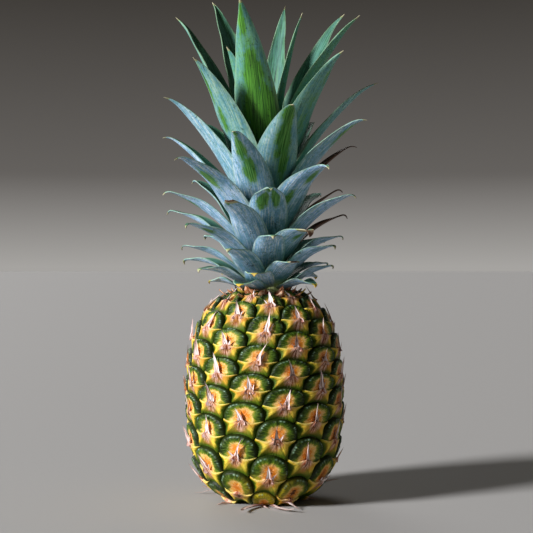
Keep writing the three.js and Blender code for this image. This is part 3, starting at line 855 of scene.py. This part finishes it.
def bract_rind():
    """A leathery bract under each eye: yellow wings and lobes, and a pinkish middle with brown creases."""
    material, node, shader, values = new_material("leathery_bract", BRACT_VALUES)
    fan, reach, down, wing, ridge, tone = values
    place = node("place")
    depth = node("times", tone, 53)
    grain = node("noise", place, 1 / (0.9 * MM), 4)
    blotch = node("noise", place, 1 / (7 * MM), 2)
    rays = node("join", node("times", fan, 5.5), node("times", reach, 0.09), depth)
    streak = node("noise", rays, 1, 4, 0.7)
    middle = band(node, wing, 0.42, 0.58, 0.07)
    # From its tip outwards it goes from pink and peach to straw and yellow, by ragged rays.
    far = stir(node, reach, (streak, 9))
    far = node("over", node("minus", far, node("times", middle, 5)), 16)
    base = node("ramp", far, [
        (0, "#a8583e"), (0.12, "#dc9270"), (0.28, "#eaa868"), (0.42, "#e6b84a"), (0.62, "#ead24a"),
        (0.95, "#b4b42e"),
    ], ease=True)
    rusty = node("ramp", blotch, [(0.46, 0), (0.6, 0.6)])
    base = lay(node, base, "#cc7a1a", rusty, node("plus", tone, 0.2))
    # Below its upper edge it turns olive and then dark green, last of all along the ridges of its lobes:
    # keeping the ridges yellow is painted highlight, and the greener valleys between them are painted shade.
    low = stir(node, down, (streak, 0.7), (blotch, -0.4))
    # Painted highlight and shade: the ridge term holds the ridges back from the greens, so the valleys turn
    # green first.
    low = node("minus", low, node("times", node("power", ridge, 2), 0.42))
    greens = node("ramp", low, [
        (0.2, "#a08416"), (0.32, "#76700c"), (0.46, "#526608"), (0.62, "#3a5008"), (0.85, "#222f08"),
    ], ease=True)
    kept = node("minus", 1, node("times", middle, 0.7))
    base = lay(node, base, greens, node("grade", low, 0.06, 0.36), kept)
    base = lay(node, base, "#455c0a", node("grade", down, 0.66, 0.92))
    # Painted highlight: a pale yellow line along the upper edge of the wings and lobes, not over the middle.
    crest_highlight = band(node, down, -1, 0.1, 0.06)
    base = lay(node, base, "#f4e490", crest_highlight, node("minus", 1, middle), 0.5)
    # Brown creases and pale pink fibres round its tip.
    near = band(node, node("minus", reach, node("times", middle, 3.8)), -9, 4.8, 2.2)
    brown = node("ramp", streak, [(0.4, 1), (0.465, 0)])
    base = lay(node, base, "#642412", brown, near, 0.9)
    light = node("ramp", streak, [(0.49, 0), (0.55, 1)])
    base = lay(node, base, "#f4ccba", light, near, 0.8)
    height = node("plus", streak, node("times", grain, 0.3))
    finish_surface(node, shader, base, height, 1.3, Roughness=0.52, IOR=1.4, Specular_IOR_Level=0.25)
    return material


def dry_bract(name, fibre_shades, tint, foot_shade, fresh):
    """Dead bract tissue, thin and papery: streaks of paler and browner fibres, a darker foot and point."""
    material, node, shader, (share, side, tone) = new_material(name, DRY_VALUES)
    depth = node("times", tone, 41)
    fibres = node("join", node("times", side, 3.2), node("times", share, 2.2), depth)
    streak = node("noise", fibres, 1, 4)
    base = node("ramp", streak, list(zip((0.36, 0.44, 0.5, 0.62), fibre_shades)))
    base = node("blend", node("times", tone, 0.5), base, tint, blend_type="MULTIPLY")
    base = lay(node, base, foot_shade, node("grade", share, 0.3, 0), 0.6)
    base = lay(node, base, "#8c7060", node("grade", share, 0.8, 1), 0.5)
    # A few of them may still be yellow and alive.
    alive = node("ramp", tone, [(0.74, 0), (0.78, 0.85)])
    base = lay(node, base, "#d2b83a", alive, fresh)
    finish_surface(node, shader, base, streak, 0.25, Roughness=0.75, IOR=1.4)
    return material


LEAF_GRAIN = (  # width and length in millimetres, detail, roughness
    (0.7, 22, 3, 0.5),  # streaks between the veins
    (6, 18, 5, 0.62),  # clouds
    (1.2, 2.2, 4, 0.5),  # specks
)
LEAF_DRYING = (  # from how dry to how dry it turns, to which colour, and to which one on the oldest leaves
    (0.2, 0.5, "#93a068", "#b4a838"), (0.5, 0.85, "#aba585", "#dcb240"), (1.2, 1.7, "#5c4030", "#5c4030"),
)


def waxy_leaf():
    """A crown leaf: green skin under blue-white bloom, rubbed bare in places, with veins and a dry tip."""
    material, node, shader, values = new_material("waxy_crown_leaf", LEAF_VALUES)
    vein, reach, share, inner, rub, dry, edge, young, old, tone = values
    depth = node("times", tone, 61)
    patterns = []
    for wide, long, detail, roughness in LEAF_GRAIN:
        spot = node("join", node("times", vein, 1 / wide), node("times", reach, 1 / long), depth)
        patterns.append(node("noise", spot, 1, detail, roughness))
    streak, cloud, speck = patterns
    flat = node("join", vein, node("times", reach, 0.6), depth)
    mottle = node("noise", flat, 1 / 3.2, 5, 0.7)
    # Bare of bloom round the rubbed places, raggedly, with a softer edge on young leaves.
    clean = node("plus", 0.7, node("times", young, 0.5))
    bare = node("grade", stir(node, rub, (cloud, 1.2), (mottle, 1.3), (streak, 0.6)), 0.26, clean)
    skin = node("ramp", streak, [(0.38, "#2f6428"), (0.5, "#4a8442"), (0.62, "#76aa60")])
    skin = lay(node, skin, "#6f9c48", node("ramp", cloud, [(0.47, 0), (0.62, 0.5)]))
    fresh = node("ramp", streak, [(0.38, "#29501a"), (0.6, "#4f9422")])
    skin = lay(node, skin, fresh, young, 0.8)
    bloom = node("ramp", streak, [(0.36, "#86b6e4"), (0.5, "#aed0f4"), (0.64, "#eef6ff")])
    bloom = lay(node, bloom, "#5fa37e", young, 0.9)
    bloom = lay(node, bloom, "#629eb8", node("ramp", mottle, [(0.4, 0.6), (0.52, 0)]))
    bloom = lay(node, bloom, "#4884a0", node("ramp", cloud, [(0.36, 0.6), (0.5, 0)]))
    # Painted shade: the bloom darkens towards the foot of the leaf, deep inside the crown.
    bloom = lay(node, bloom, "#34667c", node("grade", share, 0.45, 0.05), 0.8)
    thin = node("ramp", speck, [(0.46, 0), (0.66, 0.32)])
    thin = node("plus", thin, node("times", young, 0.3))
    outer = lay(node, bloom, skin, node("larger", bare, thin))
    # Fine cracks and scratches through the bloom, here and there.
    line = node("noise", flat, 1 / 7, 3, 0.5, 0.6)
    crack = node("ramp", cloud, [(0.48, 0), (0.54, 0.9)])
    outer = lay(node, outer, "#22331f", band(node, line, 0.493, 0.507, 0.006), crack, 0.8)
    # The inner face is darker, with less bloom.
    deep = node("ramp", streak, [(0.38, "#173620"), (0.5, "#2a5636"), (0.62, "#4a8058")])
    deep = lay(node, deep, "#5f958a", node("ramp", cloud, [(0.42, 0.5), (0.6, 0.1)]))
    base = lay(node, outer, deep, inner)
    base = lay(node, base, "#94b088", edge, 0.5)
    base = lay(node, base, "#a9b77c", node("grade", share, 0.16, 0), 0.7)
    # Where it dries it is straw-coloured, or golden on the oldest leaves, and brown at the last.
    gone = stir(node, dry, (speck, 0.7))
    for low, high, usual, oldest in LEAF_DRYING:
        turned = node("grade", gone, low, high)
        base = lay(node, base, node("blend", old, usual, oldest), turned)
    height = node("plus", node("times", streak, 0.8), node("times", speck, 0.25))
    rough = node("grade", bare, 0, 1, 0.6, 0.4)
    finish_surface(node, shader, base, height, 0.22, Roughness=rough, IOR=1.4, Specular_IOR_Level=0.35)
    return material


def stem_flesh():
    """The crown's short stem: pale fibrous tissue, greener towards the top."""
    material, node, shader, (share,) = new_material("pale_crown_stem", ["share"])
    stretched = node("stretch", node("place"), (1, 1, 0.15))
    fibre = node("noise", stretched, 1 / (1 * MM), 4)
    base = node("ramp", fibre, [(0.35, "#8f9a5c"), (0.55, "#bcc48a"), (0.7, "#d6d9ae")])
    base = lay(node, base, "#a3b878", share)
    finish_surface(node, shader, base, fibre, 0.3, Roughness=0.6, IOR=1.4)
    return material


def cut_stalk():
    """The dried cut of the fruit's stalk: brown corky rings with pale fibre ends."""
    material, node, shader, (ring,) = new_material("dried_stalk_cut", ["ring"])
    place = node("place")
    cell = node("cells", place, 1 / (1.2 * MM))
    rough = node("noise", place, 1 / (3 * MM), 5)
    base = node("ramp", rough, [(0.3, "#6b4a2c"), (0.5, "#94703f"), (0.7, "#b8975e")])
    base = lay(node, base, "#d8c294", node("ramp", cell, [(0.1, 0.8), (0.35, 0)]))
    base = lay(node, base, "#4a3018", node("ramp", ring, [(0.78, 0), (0.95, 0.8)]))
    finish_surface(node, shader, base, rough, 0.5, Roughness=0.8, IOR=1.4)
    return material


def pale_floor():
    """A matt painted studio floor."""
    material, _, shader, _ = new_material("matt_studio_floor")
    feed(shader.inputs["Base Color"], "#aeaca8")
    feed(shader.inputs["Roughness"], 0.8)
    return material


# ---------------- the stage

CAMERA_HEIGHT = 176
CAMERA_DISTANCE = 865
CAMERA_ASIDE = 1.2
LENS = 76.9
SENSOR = 36
FLOOR_RADIUS = 40000
FLOOR_SIDES = 64
SOFTBOXES = (  # name, place, how many degrees wide it looks, strength, tint
    ("key", (-980, -520, 430), 12, 6.0, "#fbfbff"),
    ("rim", (-400, 900, 500), 30, 0.6, "#ffffff"),
)
WALL = [(0, "#cdcac6"), (0.08, "#7d7975"), (0.25, "#48443f"), (1, "#403b35")]  # by the sine of the height
WALL_LIGHT = 0.62


def make_floor():
    mesh = bpy.data.meshes.new("floor")
    corners = around(circle(FLOOR_SIDES), FLOOR_RADIUS * MM, 0)
    mesh.from_pydata(corners.tolist(), [], [list(range(FLOOR_SIDES))])
    mesh.materials.append(pale_floor())
    put("floor", mesh)


def make_camera():
    data = bpy.data.cameras.new("camera")
    data.sensor_width = SENSOR
    data.lens = LENS
    camera = put("camera", data)
    camera.location = Vector((CAMERA_ASIDE, -CAMERA_DISTANCE, CAMERA_HEIGHT)) * MM
    camera.rotation_euler = (math.pi / 2, 0, 0)
    bpy.context.scene.camera = camera


def add_sun(name, place, angle, strength, tint):
    """A big softbox so far off that it lights the whole floor alike: a sun as wide as it looks from here."""
    data = bpy.data.lights.new(name, "SUN")
    data.angle = math.radians(angle)
    data.energy = strength
    data.color = colour(tint)[:3]
    light = put(name, data)
    light.location = Vector(place) * MM
    light.rotation_euler = Vector(place).to_track_quat("Z", "Y").to_euler()


def make_world():
    """The wall behind is as bright as the far floor where they meet, and a little darker above."""
    world = bpy.data.worlds.new("studio")
    bpy.context.scene.world = world
    world.use_nodes = True
    node = partial(add, world.node_tree)
    background = world.node_tree.nodes["Background"]
    height = node("height", node("direction"))
    feed(background.inputs["Color"], node("ramp", height, WALL))
    feed(background.inputs["Strength"], WALL_LIGHT)
    bpy.context.scene.view_settings.view_transform = "Standard"


# ---------------- the whole


def make_fruit():
    lower, upper = Bodies(*EYE_VALUES), Bodies(*EYE_VALUES)
    bracts = Bodies(*BRACT_VALUES)
    tips = Bodies(*DRY_VALUES)
    add_core(lower)
    for number in range(EYES):
        add_dome(lower if number < EYES // 2 else upper, number)
        add_bract(bracts, number)
        add_tip(tips, number)
    for number, (start, end) in enumerate(FLOOR_STRANDS):
        add_floor_strand(tips, number, start, end)
    rind = eye_rind()
    lower.piece("fruit_eyes_lower", ["fruit"], "rind", rind)
    upper.piece("fruit_eyes_upper", ["fruit"], "rind", rind)
    bracts.piece("fruit_bracts", ["fruit"], "rind", bract_rind())
    fibres = ("#6a3428", "#c29484", "#f2e4de", "#fffaf8")
    papery = dry_bract("papery_dry_tip", fibres, tint="#d0aea2", foot_shade="#b07464", fresh=0.0)
    tips.piece("fruit_dry_tips", ["fruit"], "rind", papery, sharp=70)
    make_scar(cut_stalk())


def make_crown():
    make_stem(stem_flesh())
    fibres = ("#6a3018", "#a85c30", "#cf8c58", "#efd4b8")
    make_collar(dry_bract("rusty_collar_bract", fibres, tint="#c88858", foot_shade="#7a3a20", fresh=1.0))
    skin = waxy_leaf()
    for number in range(1, LEAVES + 1):
        make_leaf(number, skin)


make_fruit()
make_crown()
make_floor()
make_camera()
for softbox in SOFTBOXES:
    add_sun(*softbox)
make_world()

bpy.context.view_layer.update()
